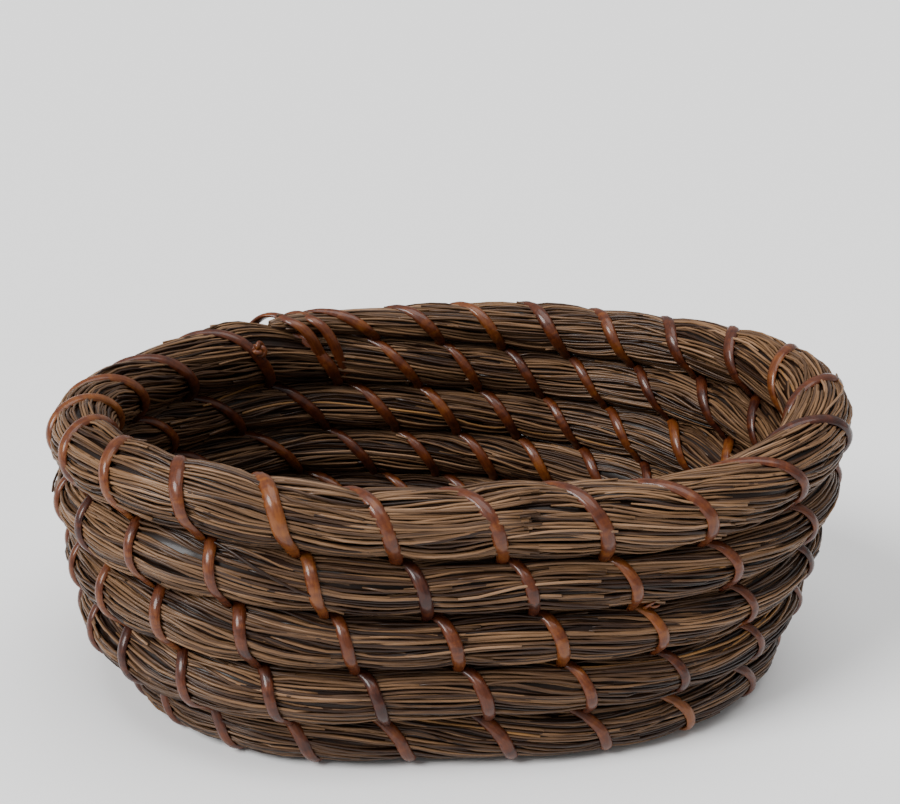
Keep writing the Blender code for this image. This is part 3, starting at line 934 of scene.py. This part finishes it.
def lay_knot(coil, turn, degrees, rng, look):
    """Rings, places and tints of a small overhand knot on the surface of the bundle."""
    here, ahead = np.array([turn]), np.array([turn + KNOT_WAY_TURNS])
    centre, normal = coil.surface(here, np.radians([degrees]), 1.0, 1.0, np.array([KNOT_LIFT]))
    along = unit(coil.read(coil.place, ahead) - coil.read(coil.place, here))[0]
    normal = normal[0]
    side = np.cross(normal, along)
    way = np.linspace(0, TURN, KNOT_POINTS)
    reach = KNOT_SIZE * (2 + np.cos(3 * way))
    points = centre + np.outer(reach * np.cos(2 * way), along) + np.outer(reach * np.sin(2 * way), side)
    points += np.outer(KNOT_SIZE * np.sin(3 * way), normal)
    flat_normals = np.tile(normal, (len(points), 1))
    rings = sweep(points, flat_normals, strand_profile(look), np.full(len(points), KNOT_STRAND_SHARE))
    return rings, way / 10 + rng.uniform(0, UV_SHIFT), np.full(len(points), KNOT_TINT)


class BASKET_OT_ties(Operator):
    """Ties the tail down with a second strand and knots the ends of the strands"""

    bl_idname = "basket.ties"
    bl_label = "Ties and Knots"

    def execute(self, context):
        look = context.scene.basket_strands
        coil = Coil()
        rng = np.random.default_rng(look.seed + 1)
        material = leaf_material(look)
        bands = [lay_band(coil, turn, reach, rng, look) for turn, reach in BANDS]
        knots = [lay_knot(coil, turn, degrees, rng, look) for turn, degrees in KNOTS]
        for name, made in (("tail_bands", bands), ("strand_knots", knots)):
            add_piece(name, mesh_from_rings(name, *zip(*made)), material)
        return {"FINISHED"}


# Stage

class BASKET_OT_stage(Operator):
    """Lays the pale floor and sets the studio light and the camera"""

    bl_idname = "basket.stage"
    bl_label = "Stage"

    def execute(self, context):
        self.lay_floor(context)
        self.set_lights(context)
        self.set_camera(context, context.scene.basket_stage)
        return {"FINISHED"}

    def lay_floor(self, context):
        mesh = bpy.data.meshes.new("floor")
        corners = ((-1, -1), (1, -1), (1, 1), (-1, 1))
        mesh.from_pydata([(x * FLOOR_REACH, y * FLOOR_REACH, 0) for x, y in corners], [], [(0, 1, 2, 3)])
        material = bpy.data.materials.new("pale paper")
        material.use_nodes = True
        shader = material.node_tree.nodes["Principled BSDF"]
        shader.inputs["Base Color"].default_value = FLOOR_COLOUR
        shader.inputs["Roughness"].default_value = FLOOR_ROUGHNESS
        mesh.materials.append(material)
        floor = bpy.data.objects.new("floor", mesh)
        context.scene.collection.objects.link(floor)

    def set_lights(self, context):
        for name, place, size, power in LIGHTS:
            data = bpy.data.lights.new(name, "SUN")
            data.angle = size
            data.energy = power
            light = bpy.data.objects.new(name, data)
            light.location = place
            aim = Vector((0, 0, LIGHT_AIM_HEIGHT)) - Vector(place)
            light.rotation_euler = aim.to_track_quat("-Z", "Y").to_euler()
            context.scene.collection.objects.link(light)
        world = bpy.data.worlds.new("studio")
        world.use_nodes = True
        world.node_tree.nodes["Background"].inputs["Color"].default_value = (1, 1, 1, 1)
        world.node_tree.nodes["Background"].inputs["Strength"].default_value = WORLD_STRENGTH
        context.scene.world = world

    def set_camera(self, context, stage):
        swing, rise = stage.swing, stage.elevation
        back = Vector((math.sin(swing) * math.cos(rise), -math.cos(swing) * math.cos(rise), math.sin(rise)))
        right = Vector((math.cos(swing), math.sin(swing), 0))
        level = Matrix((right, back.cross(right), back)).transposed()
        turned = level @ Matrix.Rotation(stage.roll, 3, "Z")
        data = bpy.data.cameras.new("camera")
        data.sensor_width = SENSOR_WIDTH
        data.lens = stage.lens
        data.shift_x, data.shift_y = stage.shift_x, stage.shift_y
        data.clip_start = CLIP_START
        place = Vector((stage.target_x, 0, stage.height)) + back * stage.distance
        camera = bpy.data.objects.new("camera", data)
        camera.matrix_world = Matrix.Translation(place) @ turned.to_4x4()
        context.scene.collection.objects.link(camera)
        context.scene.camera = camera


# Panel and start

class BASKET_PT_panel(Panel):
    """Buttons that make the basket piece by piece"""

    bl_label = "Pine Needle Basket"
    bl_idname = "BASKET_PT_panel"
    bl_space_type = "VIEW_3D"
    bl_region_type = "UI"
    bl_category = "Basket"

    def draw(self, context):
        for operator in OPERATORS:
            self.layout.operator(operator.bl_idname)


OPERATORS = (BASKET_OT_needle_bundle, BASKET_OT_sewing_strands, BASKET_OT_ties, BASKET_OT_stage)
SETTINGS = {
    "basket_needles": BasketNeedleSettings,
    "basket_strands": BasketStrandSettings,
    "basket_stage": BasketStageSettings,
}


def register():
    for cls in (*SETTINGS.values(), *OPERATORS, BASKET_PT_panel):
        bpy.utils.register_class(cls)
    for name, cls in SETTINGS.items():
        setattr(bpy.types.Scene, name, PointerProperty(type=cls))


def unregister():
    for name in SETTINGS:
        delattr(bpy.types.Scene, name)
    for cls in reversed((*SETTINGS.values(), *OPERATORS, BASKET_PT_panel)):
        bpy.utils.unregister_class(cls)


def main():
    register()
    bpy.ops.basket.needle_bundle()
    bpy.ops.basket.sewing_strands()
    bpy.ops.basket.ties()
    bpy.ops.basket.stage()


if __name__ == "__main__":
    main()
